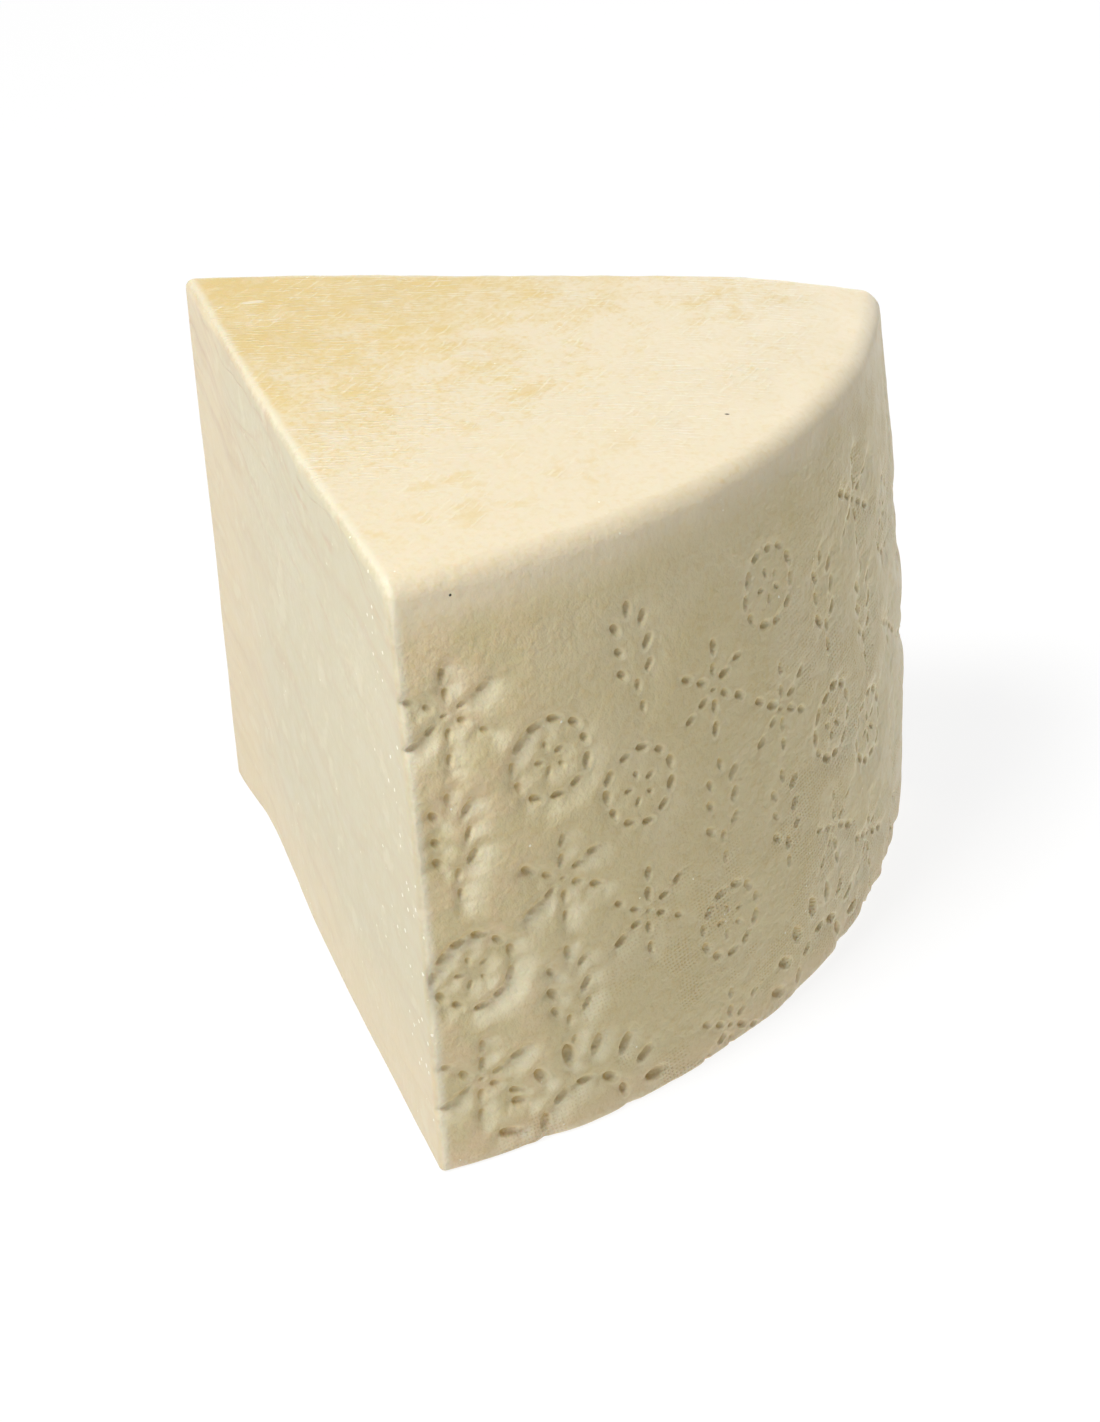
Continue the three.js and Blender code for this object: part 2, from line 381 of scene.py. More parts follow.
class RindMap:
    """The unrolled side on a square lattice. Pressing the dots in gives these fields, each from 0 to about
    1: the dots' bowls, their lips, which are higher on the lower right, their rims, which are higher on
    the upper left, the pale lower right of their bowls, which is a painted highlight, their gold-brown
    upper left walls, which are partly painted shade, and how untouched by the band the rind stays. From
    them come the three that are used: the depth in metres, how far the skin is drawn out, which leaves it
    pale, partly as stretched skin and partly as a painted highlight where it faces the light, and how much
    of the gold-brown crust stays, partly as painted shade where it faces away from the light."""

    # The lattice's pitch, how far it goes on past the side, how far from its middle a dot is worked out,
    # and the power in a dot's outline, which is 2 for an ellipse.
    PITCH = 0.2 * MM
    MARGIN = 8 * MM
    WINDOW = 10 * MM
    SQUARENESS = 2.3

    def __init__(self, marks, shape):
        reach = shape.waist_radius * shape.sector / 2 + self.MARGIN
        self.along = np.arange(-reach, reach, self.PITCH)
        self.up = np.arange(-self.MARGIN, HEIGHT + self.MARGIN, self.PITCH)
        size = (len(self.up), len(self.along))
        self.dots, self.lips, self.rims, self.floors, self.golden_and_shade = np.zeros((5, *size))
        self.untouched = np.ones(size)
        for dot in punched_dots(marks, shape):
            self.punch(dot, marks)
        self.work_out(marks, size)

    def work_out(self, marks, size):
        """The fields that are used. The band sank in further by both cuts. The lower right walls of its
        valleys, and by the right cut both walls, are drawn out, and so are the lips and the lower right of
        the dots' bowls; their paleness is partly stretched skin and partly a painted highlight where they
        face the light. The upper left walls, which face away from the light, are gold-brown, partly as
        painted shade."""
        along, up = np.meshgrid(self.along, self.up)
        flat = np.stack([along.ravel(), up.ravel(), np.zeros(along.size)], axis=1)
        left = smooth_step(-36 * MM, -72 * MM, along)
        right = smooth_step(-5 * MM, 42 * MM, along)
        uneven = lumps(flat, 24 * MM, 5).reshape(size)
        sinking = marks.valley_depth * (1 + 0.5 * uneven + 2.4 * left + 2.2 * right) * (1 - self.untouched)
        rise_up, rise_along = np.gradient(sinking, self.PITCH)
        wall = (rise_up - rise_along) / math.sqrt(2)
        deeper = 0.95 + 0.3 * lumps(flat, 17 * MM, 6).reshape(size)
        deeper = deeper * (1.3 - 0.5 * left + 0.5 * right)
        lips = self.lips * (1 + 0.5 * right) + self.rims * right
        self.depth = sinking + marks.dot_depth * (self.dots * deeper - lips)
        # Painted highlight in part: the pale share on the walls, lips and bowls that face the light.
        pale_and_highlight_wall = smooth_step(0, 0.28, wall + right * (np.abs(wall) - wall)) * (1 - self.golden_and_shade)
        pale = [(0.9 - 0.45 * right) * pale_and_highlight_wall, (1.8 + right) * lips, (1 - right) * self.floors]
        self.drawn = np.maximum.reduce(pale)
        # Painted shade in part: gold-brown on the upper left walls, which face away from the light.
        golden_and_shade_wall = 0.5 * smooth_step(-0.2, -0.7, wall) * (1 - right)
        self.golden_and_shade = np.maximum(self.golden_and_shade, golden_and_shade_wall)

    def window(self, along, up):
        """The part of the lattice round a place: its rows and columns, and how far they are to the right
        of the place and above it."""
        columns = slice(*np.searchsorted(self.along, (along - self.WINDOW, along + self.WINDOW)))
        rows = slice(*np.searchsorted(self.up, (up - self.WINDOW, up + self.WINDOW)))
        return (rows, columns), self.along[columns][None, :] - along, self.up[rows][:, None] - up

    def punch(self, dot, marks):
        """Presses one dot in. Its outline is an oval a little squarer than an ellipse and longer on the
        lower right. The bowl is deepest by the steep upper left wall and rises from there to the lower
        right, and a thin lip stands round it. Slant runs from -1 at the upper left end of the dot to 1 at
        the lower right one."""
        along, up, turn, size, depth = dot
        place, right, above = self.window(along, up)
        lengthwise = right * math.cos(turn) + above * math.sin(turn)
        across = above * math.cos(turn) - right * math.sin(turn)
        half_length = marks.dot_length / 2 * size
        half_width = marks.dot_width / 2 * size
        reach = math.hypot(
            half_length * math.cos(turn + math.pi / 4), half_width * math.sin(turn + math.pi / 4)
        )
        slant = np.clip((right - above) / math.sqrt(2) / reach, -1.2, 1.2)
        power = self.SQUARENESS
        oval = np.abs(lengthwise / half_length) ** power + np.abs(across / half_width) ** power
        oval = oval ** (1 / power) / (1 + 0.12 * slant)
        bowl = (1 - smooth_step(0.5 - 0.35 * slant, 1.08, oval)) * (1 - 0.55 * slant)
        lip = bell(oval - 1.25, 0.19) * min(size, 1) * depth
        inside = 1 - smooth_step(0.85, 1.15, oval)
        # The pale share on the lower right of each bowl is a painted highlight where it rises to the light,
        # and the gold-brown share on the steep upper left wall is partly painted shade.
        for field, pressed_in in (
            (self.dots, bowl * size * depth),
            (self.lips, lip * (0.14 + 0.1 * slant)),
            (self.rims, lip * (0.14 - 0.1 * slant)),
            (self.floors, 0.5 * inside * smooth_step(0.1, 0.8, slant)),
            (self.golden_and_shade, inside * (1 - smooth_step(-0.65, 0.25, slant))),
        ):
            field[place] = np.maximum(field[place], pressed_in)
        nearest = np.clip(lengthwise, -half_length, half_length)
        aside, aloft = right - nearest * math.cos(turn), above - nearest * math.sin(turn)
        self.untouched[place] *= 1 - 0.85 * min(size, 1) * self.sunk(aside, aloft, marks)

    def sunk(self, aside, aloft, marks):
        """How far the band sank in round a dot, from 1 on the dot's middle line to 0 away from it, by how
        far places are aside of that line and above it. It reaches further on the lower right."""
        gap = np.hypot(aside, aloft) + 1e-9
        lower_right = (aside - aloft) / (gap * math.sqrt(2))
        return np.exp(-((gap / marks.valley_width / (1.05 + marks.valley_slant * lower_right)) ** 1.6))

    def at(self, field, along, up):
        """A field's values at places on the side, blended between the four nearest lattice points."""
        column = np.clip((along - self.along[0]) / self.PITCH, 0, len(self.along) - 1.001)
        row = np.clip((up - self.up[0]) / self.PITCH, 0, len(self.up) - 1.001)
        j, i = column.astype(int), row.astype(int)
        v, u = column - j, row - i
        low = field[i, j] * (1 - v) + field[i, j + 1] * v
        high = field[i + 1, j] * (1 - v) + field[i + 1, j + 1] * v
        return low * (1 - u) + high * u


def unrolled(points, shape):
    """Places on the wheel's side: along it from the middle, up from the base, and depth under it."""
    x, y, z = points.T
    along = np.arctan2(x, AXIS_Y - y) * shape.waist_radius
    return along, z, wheel_radius(x, z, shape) - np.hypot(x, y - AXIS_Y)


def imprinted(points, rind, shape):
    """Points moved towards the axis by what the marking band and the years left in the rind. The move
    fades with the depth under the side as a bell curve, so that a cut stays flat and its edge takes the
    dots."""
    along, up, depth = unrolled(points, shape)
    flat = np.stack([along, up, np.zeros_like(up)], axis=1)
    waves = 0.32 * MM * lumps(flat, 27 * MM, 7) + 0.1 * MM * lumps(flat, 9 * MM, 8)
    grain = 0.05 * MM * lumps(flat, 2.2 * MM, 9)
    inwards = (rind.at(rind.depth, along, up) + waves + grain) * bell(depth, 6 * MM)
    radius = np.hypot(points[:, 0], points[:, 1] - AXIS_Y)
    scale = 1 - inwards / np.maximum(radius, 20 * MM)
    moved = points.copy()
    moved[:, 0] = points[:, 0] * scale
    moved[:, 1] = AXIS_Y + (points[:, 1] - AXIS_Y) * scale
    return moved


def weathered(points, shape):
    """Points moved a little square to the face that they lie on: slow waves on the cuts and on the top.
    Each move fades under its face as a bell curve, and those of the cuts fade at the base, which stays
    flat."""
    half = shape.sector / 2
    left, right = cut_distances(points, shape)
    waves = 0.3 * MM * lumps(points, 32 * MM, 12) + 0.07 * MM * lumps(points, 7 * MM, 13)
    above_base = smooth_step(0, 6 * MM, points[:, 2])
    moved = points.copy()
    for outside, sign in ((left, -1), (right, 1)):
        push = waves * above_base * bell(outside, 4 * MM)
        moved[:, 0] += push * sign * math.cos(half)
        moved[:, 1] += push * math.sin(half)
    top_waves = 0.3 * MM * lumps(points, 30 * MM, 14) + 0.08 * MM * lumps(points, 6 * MM, 15)
    moved[:, 2] += top_waves * bell(HEIGHT - points[:, 2], 4 * MM)
    return moved


# ---- The mesh ----
# Steps of the grid: along each cut, along the rind, up the side, and from the outlines of the base and of
# the top to their middles. Both middles lie a share of the radius out from the axis.

CUT_STEPS = 90
RIND_STEPS = 500
SIDE_STEPS = 384
BASE_STEPS = 24
TOP_STEPS = 92
MIDDLE_SHARE = 0.6


def graded(count, crowding):
    """Fractions from 0 to 1 that crowd towards both ends: an even spacing blended with a cosine one."""
    even = np.linspace(0, 1, count)
    return (1 - crowding) * even + crowding * (1 - np.cos(math.pi * even)) / 2


def wedge_grid(shape):
    """Start places for the wedge's skin, as rows of one closed loop each. The loop runs down the left cut,
    along the rind and back up the right cut. The rows run from the middle of the base outwards, up the
    side, and inwards to the middle of the top. The two middles come last, as single points."""
    half = shape.sector / 2
    out = graded(CUT_STEPS, 0.85)
    outwards, inwards = out[:-1], out[-2:0:-1]
    rind = half * (2 * graded(RIND_STEPS, 0.2) - 1)
    angle = np.concatenate([np.full(len(outwards), -half), rind, np.full(len(inwards), half)])
    share = np.concatenate([outwards, np.ones(RIND_STEPS), inwards])
    heights = HEIGHT * graded(SIDE_STEPS, 0.3)
    side_x = shape.waist_radius * np.sin(angle)[None, :]
    radius = wheel_radius(side_x, heights[:, None], shape) * share[None, :]
    side = np.stack(
        [
            radius * np.sin(angle),
            AXIS_Y - radius * np.cos(angle),
            np.broadcast_to(heights[:, None], radius.shape),
        ],
        axis=2,
    )
    left, right = (gap.reshape(radius.shape) for gap in cut_distances(side.reshape(-1, 3), shape))
    left_columns, right_columns = slice(0, CUT_STEPS), slice(-len(inwards), None)
    for columns, gap, sign in ((left_columns, left, -1), (right_columns, right, 1)):
        side[:, columns, 0] -= sign * math.cos(half) * gap[:, columns]
        side[:, columns, 1] -= math.sin(half) * gap[:, columns]
    middle = np.array([0, AXIS_Y - MIDDLE_SHARE * shape.waist_radius, 0])
    base_steps = 1 - graded(BASE_STEPS, 0.5)[1:-1, None, None] ** 0.5
    top_steps = graded(TOP_STEPS, 0.2)[1:-1, None, None]
    base_rings = side[0] + (middle - side[0]) * base_steps
    top_middle = middle + (0, 0, HEIGHT)
    top_rings = side[-1] + (top_middle - side[-1]) * top_steps
    rows = np.concatenate([base_rings, side, top_rings])
    return rows, np.stack([middle, top_middle])


def wedge_faces(rows, columns):
    """Four-sided faces between neighbouring rows of closed loops, and three-sided ones round the two
    single points, the first inside the first row and the second inside the last."""
    start = np.arange(columns)
    after = np.roll(start, -1)
    low = np.arange(rows - 1)[:, None] * columns
    quads = np.stack([low + start, low + after, low + columns + after, low + columns + start], axis=2)
    base_point = rows * columns
    last_row = (rows - 1) * columns
    base_fan = np.stack([after, start, np.full(columns, base_point)], axis=1)
    top_fan = np.stack([last_row + start, last_row + after, np.full(columns, base_point + 1)], axis=1)
    return quads.reshape(-1, 4), np.concatenate([base_fan, top_fan])


def mesh_of(name, points, quads, triangles):
    """A mesh from whole arrays of points and of the four-sided and three-sided faces between them."""
    mesh = bpy.data.meshes.new(name)
    mesh.vertices.add(len(points))
    mesh.vertices.foreach_set("co", points.astype(np.float32).ravel())
    corners = np.concatenate([quads.ravel(), triangles.ravel()]).astype(np.int32)
    counts = np.concatenate([np.full(len(quads), 4), np.full(len(triangles), 3)])
    starts = (np.cumsum(counts) - counts).astype(np.int32)
    mesh.loops.add(len(corners))
    mesh.loops.foreach_set("vertex_index", corners)
    mesh.polygons.add(len(counts))
    mesh.polygons.foreach_set("loop_start", starts)
    mesh.update(calc_edges=True)
    mesh.validate()
    return mesh


def thinned(piece, triangles):
    """Replaces a piece's mesh by one of about so many triangles, which are smallest where it curves."""
    full = len(piece.data.loops) - 2 * len(piece.data.polygons)
    thin = piece.modifiers.new("Thin", "DECIMATE")
    thin.ratio = triangles / full
    bpy.context.view_layer.update()
    evaluated = piece.evaluated_get(bpy.context.evaluated_depsgraph_get())
    mesh = bpy.data.meshes.new_from_object(evaluated)
    piece.modifiers.remove(thin)
    full_mesh = piece.data
    piece.data = mesh
    bpy.data.meshes.remove(full_mesh)


def set_field(mesh, name, values):
    """Stores one number, or one vector, for each vertex."""
    kind, slot = ("FLOAT_VECTOR", "vector") if values.ndim == 2 else ("FLOAT", "value")
    field = mesh.attributes.new(name, kind, "POINT")
    field.data.foreach_set(slot, values.astype(np.float32).ravel())


def store_fields(mesh, rind, shape):
    """Stores what the material reads: the place on the unrolled side, the distance inside the nearer
    upright cut, how far the skin is drawn out, which paints it pale, partly as a painted highlight where it
    faces the light, and how gold-brown it stays, partly as painted shade where it faces away from the
    light."""
    points = np.empty(len(mesh.vertices) * 3, np.float32)
    mesh.vertices.foreach_get("co", points)
    points = points.reshape(-1, 3).astype(float)
    along, up, depth = unrolled(points, shape)
    left, right = cut_distances(points, shape)
    on_side = bell(np.maximum(depth - 2 * MM, 0), 1.5 * MM)
    set_field(mesh, "unrolled", np.stack([along, up, depth], axis=1))
    set_field(mesh, "from_cut", -np.maximum(left, right))
    # The pale share is partly a painted highlight, the gold-brown share partly painted shade.
    set_field(mesh, "drawn", rind.at(rind.drawn, along, up) * on_side)
    set_field(mesh, "golden_and_shade", rind.at(rind.golden_and_shade, along, up) * on_side)


# ---- Materials ----

class Nodes:
    """Short ways to add and join shader nodes."""

    def __init__(self, owner):
        owner.use_nodes = True
        self.tree = owner.node_tree
        self.tree.nodes.clear()

    def add(self, kind, inputs=(), **settings):
        """A node with its settings and its inputs, each of which is another node's output or a value."""
        node = self.tree.nodes.new(kind)
        for name, value in settings.items():
            setattr(node, name, value)
        for name, value in dict(inputs).items():
            self.put(node.inputs[name], value)
        return node

    def put(self, socket, value):
        """Joins another node's output to a socket, or sets its value."""
        if isinstance(value, bpy.types.NodeSocket):
            self.tree.links.new(value, socket)
        else:
            socket.default_value = value

    def maths(self, operation, *values):
        """The result of a sum on numbers."""
        node = self.add("ShaderNodeMath", enumerate(values), operation=operation)
        return node.outputs[0]

    def times(self, *values):
        """The product of numbers."""
        total = values[0]
        for value in values[1:]:
            total = self.maths("MULTIPLY", total, value)
        return total

    def plus(self, *values):
        """The sum of numbers."""
        total = values[0]
        for value in values[1:]:
            total = self.maths("ADD", total, value)
        return total

    def weighed(self, *pairs):
        """The sum of numbers, each times a factor of its own."""
        return self.plus(*(self.times(value, factor) for value, factor in pairs))

    def vector(self, operation, *values):
        """The result of a sum on vectors."""
        node = self.add("ShaderNodeVectorMath", enumerate(values), operation=operation)
        return node.outputs["Value" if operation in ("DOT_PRODUCT", "LENGTH") else "Vector"]

    def stretched(self, vector, scale):
        """A vector multiplied part by part."""
        return self.vector("MULTIPLY", vector, scale)

    def turned(self, vector, angle):
        """A vector turned about Z."""
        inputs = {"Vector": vector, "Rotation": (0, 0, angle)}
        return self.add("ShaderNodeMapping", inputs).outputs["Vector"]

    def parts(self, vector):
        """A vector's three numbers."""
        return tuple(self.add("ShaderNodeSeparateXYZ", {"Vector": vector}).outputs)

    def step(self, value, low, high, to_low=0.0, to_high=1.0):
        """An S-curve from to_low, where value is low, to to_high, where it is high."""
        inputs = {
            "Value": value, "From Min": low, "From Max": high, "To Min": to_low, "To Max": to_high,
        }
        node = self.add("ShaderNodeMapRange", inputs, interpolation_type="SMOOTHSTEP")
        return node.outputs["Result"]

    def noise(self, vector, size, detail=2.0, roughness=0.5, distortion=0.0, output="Fac"):
        """Cloudy noise from 0 to 1, with lumps of about the size given in metres."""
        inputs = {
            "Vector": vector, "Scale": 1 / size, "Detail": detail, "Roughness": roughness,
            "Distortion": distortion,
        }
        return self.add("ShaderNodeTexNoise", inputs).outputs[output]

    def cells(self, vector, size):
        """Distance to the nearest of many scattered points, in spacings of the size given in metres."""
        inputs = {"Vector": vector, "Scale": 1 / size}
        return self.add("ShaderNodeTexVoronoi", inputs).outputs["Distance"]

    def mix(self, share, a, b):
        """A blend of two colours or heights, from a, where share is 0, to b, where it is 1."""
        node = self.add("ShaderNodeMix", data_type="RGBA")
        self.put(node.inputs["Factor"], share)
        sockets = [socket for socket in node.inputs if socket.type == "RGBA"]
        for socket, value in zip(sockets, (a, b), strict=True):
            self.put(socket, value if isinstance(value, bpy.types.NodeSocket) else (*value, 1))
        return next(socket for socket in node.outputs if socket.type == "RGBA")

    def coated(self, ground, *coats):
        """A colour or a height with coats over it, each given as how much it covers, and itself."""
        for share, coat in coats:
            ground = self.mix(share, ground, coat)
        return ground

    def field(self, name, output="Fac"):
        """A field that the mesh stores."""
        return self.add("ShaderNodeAttribute", attribute_name=name).outputs[output]


class Skin(Nodes):
    """The nodes of the cheese's skin: the place, the fields that the mesh stores, and three noises from
    coarse to fine that all its looks share."""

    def __init__(self, material):
        super().__init__(material)
        self.place = self.add("ShaderNodeTexCoord").outputs["Object"]
        self.x, _, self.z = self.parts(self.place)
        self.from_cut = self.field("from_cut")
        self.unrolled = self.field("unrolled", "Vector")
        self.along, _, self.under_rind = self.parts(self.unrolled)
        self.cloud = self.noise(self.place, 28 * MM, 2, 0.5)
        self.mottle = self.noise(self.place, 8 * MM, 3, 0.6)
        self.fine = self.noise(self.place, 1.5 * MM, 2, 0.6)

    def wavering(self, value, noise, size):
        """A number moved by a noise times a size, so that a border drawn by it wavers."""
        return self.plus(value, self.times(noise, size))

    def streak(self, centre, direction, half_sizes):
        """1 in a small egg shape about a place and 0 outside. Its half sizes are along a level direction,
        level across it, and upright."""
        gap = self.vector("SUBTRACT", self.place, centre)
        gap = self.turned(gap, -math.atan2(direction[1], direction[0]))
        gap = self.stretched(gap, tuple(1 / half_size for half_size in half_sizes))
        return self.step(self.vector("LENGTH", gap), 1.0, 0.5)

    def threads(self, direction, pitch, run):
        """Broken parallel ridges, as a cloth's threads print them: a sine across the threads at their
        pitch, bent by the middle noise, and kept only where noise stretched along the threads is high."""
        turned = self.turned(self.place, -math.atan2(direction[1], direction[0]))
        _, across, _ = self.parts(turned)
        bent = self.wavering(across, self.mottle, pitch * 2.5)
        wave = self.maths("SINE", self.times(bent, math.tau / pitch))
        broken = self.noise(self.stretched(turned, (pitch / run, 1, 1)), pitch * 0.8, 1)
        return self.times(self.step(wave, 0.0, 1.0), self.step(broken, 0.45, 0.62))


# A small mark is a place, a level direction and half sizes. The cloth's threads are a level direction,
# their pitch and how far one runs before it breaks off.

SCRATCH = ((-2.9 * MM, 56.1 * MM, HEIGHT), (0.75, -0.66), (3.4 * MM, 0.9 * MM, 3 * MM))
SPECK_COLOUR = (0.02, 0.015, 0.01)
SPECKS = (
    ((9.9 * MM, -54.1 * MM, HEIGHT), (0.606, -0.795), (0.7 * MM, 0.45 * MM, 3 * MM)),
    ((-69.7 * MM, -51 * MM, 119.6 * MM), (-0.474, -0.880), (3 * MM, 0.35 * MM, 0.35 * MM)),
)
WEFT = ((0.606, -0.795), 1.2 * MM, 5 * MM)
WARP = ((0.987, 0.16), 1.6 * MM, 6 * MM)


def stain_on_top(skin):
    """How stained the top is: mottled, from the axis edge to about the middle. Returns this, and patches
    of the stain by the left cut."""
    towards_axis = skin.vector("DOT_PRODUCT", skin.place, (0.08, 1.0, 0))
    slope = skin.times(skin.plus(towards_axis, 27 * MM), 1 / (50 * MM))
    uneven = skin.weighed((skin.cloud, 2.0), (skin.mottle, 3.2), (skin.fine, 1.1))
    blotches = skin.step(skin.noise(skin.place, 4.5 * MM, 3, 0.65), 0.3, 0.6, 0.6, 1.0)
    stained = skin.times(skin.step(skin.plus(slope, uneven), 3.05, 4.7), blotches)
    by_left_cut = skin.step(skin.x, 15 * MM, -30 * MM)
    return stained, skin.times(skin.step(skin.mottle, 0.5, 0.66), by_left_cut, 0.5)


def cloth_print(skin):
    """The print of the cloth's weft and warp, each in patches of its own."""
    weft = skin.times(skin.threads(*WEFT), skin.step(skin.cloud, 0.38, 0.56))
    warp = skin.times(skin.threads(*WARP), skin.step(skin.mottle, 0.44, 0.6))
    return skin.plus(weft, skin.times(warp, 0.6))


def top_look(skin, colours):
    """The flat top: pale near the rim, with a mottled ochre stain towards the axis edge, patches of it by
    the left cut, and the print of the cloth. Returns its colour and its height."""
    inside = skin.step(skin.under_rind, 7 * MM, 16 * MM)
    stained, patches = stain_on_top(skin)
    woven = skin.times(cloth_print(skin), inside)
    freckles = skin.times(skin.step(skin.fine, 0.46, 0.7), skin.step(stained, -0.6, 0.8), 0.6)
    coloured = skin.coated(
        colours.top,
        (skin.maths("MAXIMUM", stained, skin.times(patches, inside)), colours.top_stain),
        (skin.times(woven, 0.45), colours.glint),
        (freckles, colours.top_stain),
    )
    height = skin.weighed((woven, 0.12 * MM), (skin.mottle, 0.35 * MM), (skin.fine, 0.16 * MM))
    return coloured, height


def band_lattice(skin):
    """Pits of the band's fine lattice, in patches on the lower right: where the sines of two slanted
    directions on the unrolled side, both bent by the middle noise, multiply to near 1."""
    slant = 0.62
    flat = skin.turned(skin.stretched(skin.unrolled, (1, 1, 0)), slant)
    bend = skin.times(skin.mottle, 14.0)
    pitch = 1.25 * MM
    waves = [
        skin.maths("SINE", skin.plus(skin.times(across, math.tau / pitch), bend))
        for across in skin.parts(flat)[:2]
    ]
    low_right = skin.step(skin.plus(skin.along, skin.times(skin.z, -1.0)), -110 * MM, -50 * MM)
    patches = (skin.step(skin.cloud, 0.43, 0.53), skin.step(skin.mottle, 0.35, 0.55), low_right)
    return skin.times(skin.step(skin.times(*waves), 0.1, 0.9), *patches)


def rind_look(skin, colours):
    """The punched side: beige, greyer and paler towards the right, which is painted sheen of grazing light,
    and in cloudy greyer places, thin reddish ones by the left cut and the base, pores, a clearer foot, pale
    walls where the band drew the skin out, partly a painted highlight where they face the light, gold-brown
    upper left walls in the dots, partly painted shade, which turn darker towards the right and in the
    greyer places as painted shade, and patches of the band's fine lattice. Returns its colour and its
    height."""
    # Painted sheen: the rind turns greyer and paler towards the right, where grazing light sheens it.
    sheen_to_right = skin.step(skin.along, 10 * MM, 85 * MM, 0.0, 0.75)
    grey_and_sheen = skin.plus(sheen_to_right, skin.step(skin.cloud, 0.48, 0.66, 0.0, 0.35))
    by_left_cut = skin.times(skin.step(skin.along, -52 * MM, -78 * MM), skin.step(skin.mottle, 0.42, 0.6))
    by_base = skin.step(skin.wavering(skin.z, skin.mottle, 8 * MM), 15 * MM, 5 * MM)
    foot = skin.step(skin.wavering(skin.z, skin.fine, 2 * MM), 4 * MM, 1 * MM, 0.0, 0.45)
    # Painted highlight in part: the pale share on the walls, lips and bowls that face the light.
    drawn = skin.times(skin.field("drawn"), skin.step(skin.mottle, 0.25, 0.6, 0.55, 0.92))
    # Painted shade: the dots' upper left walls turn darker towards the right and in the greyer places.
    wall = skin.mix(grey_and_sheen, colours.mark, colours.mark_painted_shade)
    pits = band_lattice(skin)
    coloured = skin.coated(
        colours.rind,
        (grey_and_sheen, colours.rind_grey_and_sheen),
        (skin.times(skin.plus(by_left_cut, by_base), 0.55), colours.rind_blush),
        (skin.times(skin.step(skin.fine, 0.45, 0.68), 0.22), colours.mark),
        (foot, colours.edge),
        (drawn, colours.stretched),
        # The gold-brown upper left walls are partly painted shade.
        (skin.times(skin.field("golden_and_shade"), 0.8), wall),
        (skin.times(pits, 0.55), colours.mark),
    )
    height = skin.weighed((pits, -0.1 * MM), (skin.fine, 0.32 * MM), (skin.mottle, 0.6 * MM))
    return coloured, height


def cut_look(skin, colours):
    """The knife cuts: smooth waxy paste with faint drag marks that run level and dip towards the rind,
    thin veins along them, and warmer by the axis and the base. Returns its colour and its height."""
    away = skin.vector("SUBTRACT", skin.place, (0.0, AXIS_Y, 0.0))
    out = skin.vector("LENGTH", skin.stretched(away, (1, 1, 0)))
    dip, squeeze = 0.16, 0.09
    inputs = {
        "X": skin.times(out, squeeze),
        "Y": skin.wavering(skin.plus(skin.z, skin.times(out, dip)), skin.cloud, 16 * MM),
        "Z": skin.step(skin.x, -1 * MM, 1 * MM),
    }
    drawn = skin.add("ShaderNodeCombineXYZ", inputs).outputs["Vector"]
    streak = skin.noise(drawn, 7 * MM, 3, 0.55, 0.2)
    line = skin.noise(drawn, 11 * MM, 2, 0.5, 0.3)
    clouded = skin.wavering(skin.z, skin.cloud, 40 * MM)
    by_top = skin.step(clouded, HEIGHT - 25 * MM, HEIGHT + 15 * MM)
    by_base = skin.step(clouded, 60 * MM, 25 * MM)
    by_axis = skin.step(skin.wavering(out, skin.cloud, 50 * MM), 95 * MM, 40 * MM)
    drag = skin.times(skin.step(streak, 0.46, 0.72), skin.plus(skin.times(by_top, 0.45), 0.3))
    vein = skin.step(skin.maths("ABSOLUTE", skin.plus(line, -0.5)), 0.03, 0.0)
    vein = skin.times(vein, skin.step(skin.mottle, 0.35, 0.6), skin.plus(by_top, 0.35))
    coloured = skin.coated(
        colours.paste,
        (skin.maths("MAXIMUM", by_axis, by_base), colours.paste_warm),
        (drag, colours.paste_vein),
        (skin.times(vein, 0.55), colours.paste_vein),
        (skin.step(skin.mottle, 0.54, 0.7, 0.0, 0.35), colours.edge),
    )
    height = skin.weighed(
        (streak, 0.4 * MM), (vein, -0.06 * MM), (skin.mottle, 0.3 * MM), (skin.fine, 0.07 * MM)
    )
    return coloured, height


def salt_grains(skin, on_cut):
    """Ragged grains about scattered points, in patches, and more of them on a cut near the rind."""
    ragged = skin.noise(skin.place, 0.5 * MM, output="Color")
    ragged_place = skin.vector("ADD", skin.place, skin.stretched(ragged, (0.4 * MM,) * 3))
    by_rind = skin.times(on_cut, skin.step(skin.under_rind, 34 * MM, 6 * MM, 0.0, 0.24))
    gap = skin.plus(skin.cells(ragged_place, 3.2 * MM), skin.times(by_rind, -0.25))
    return skin.times(skin.step(gap, 0.09, 0.06), skin.step(skin.plus(skin.mottle, by_rind), 0.57, 0.62))


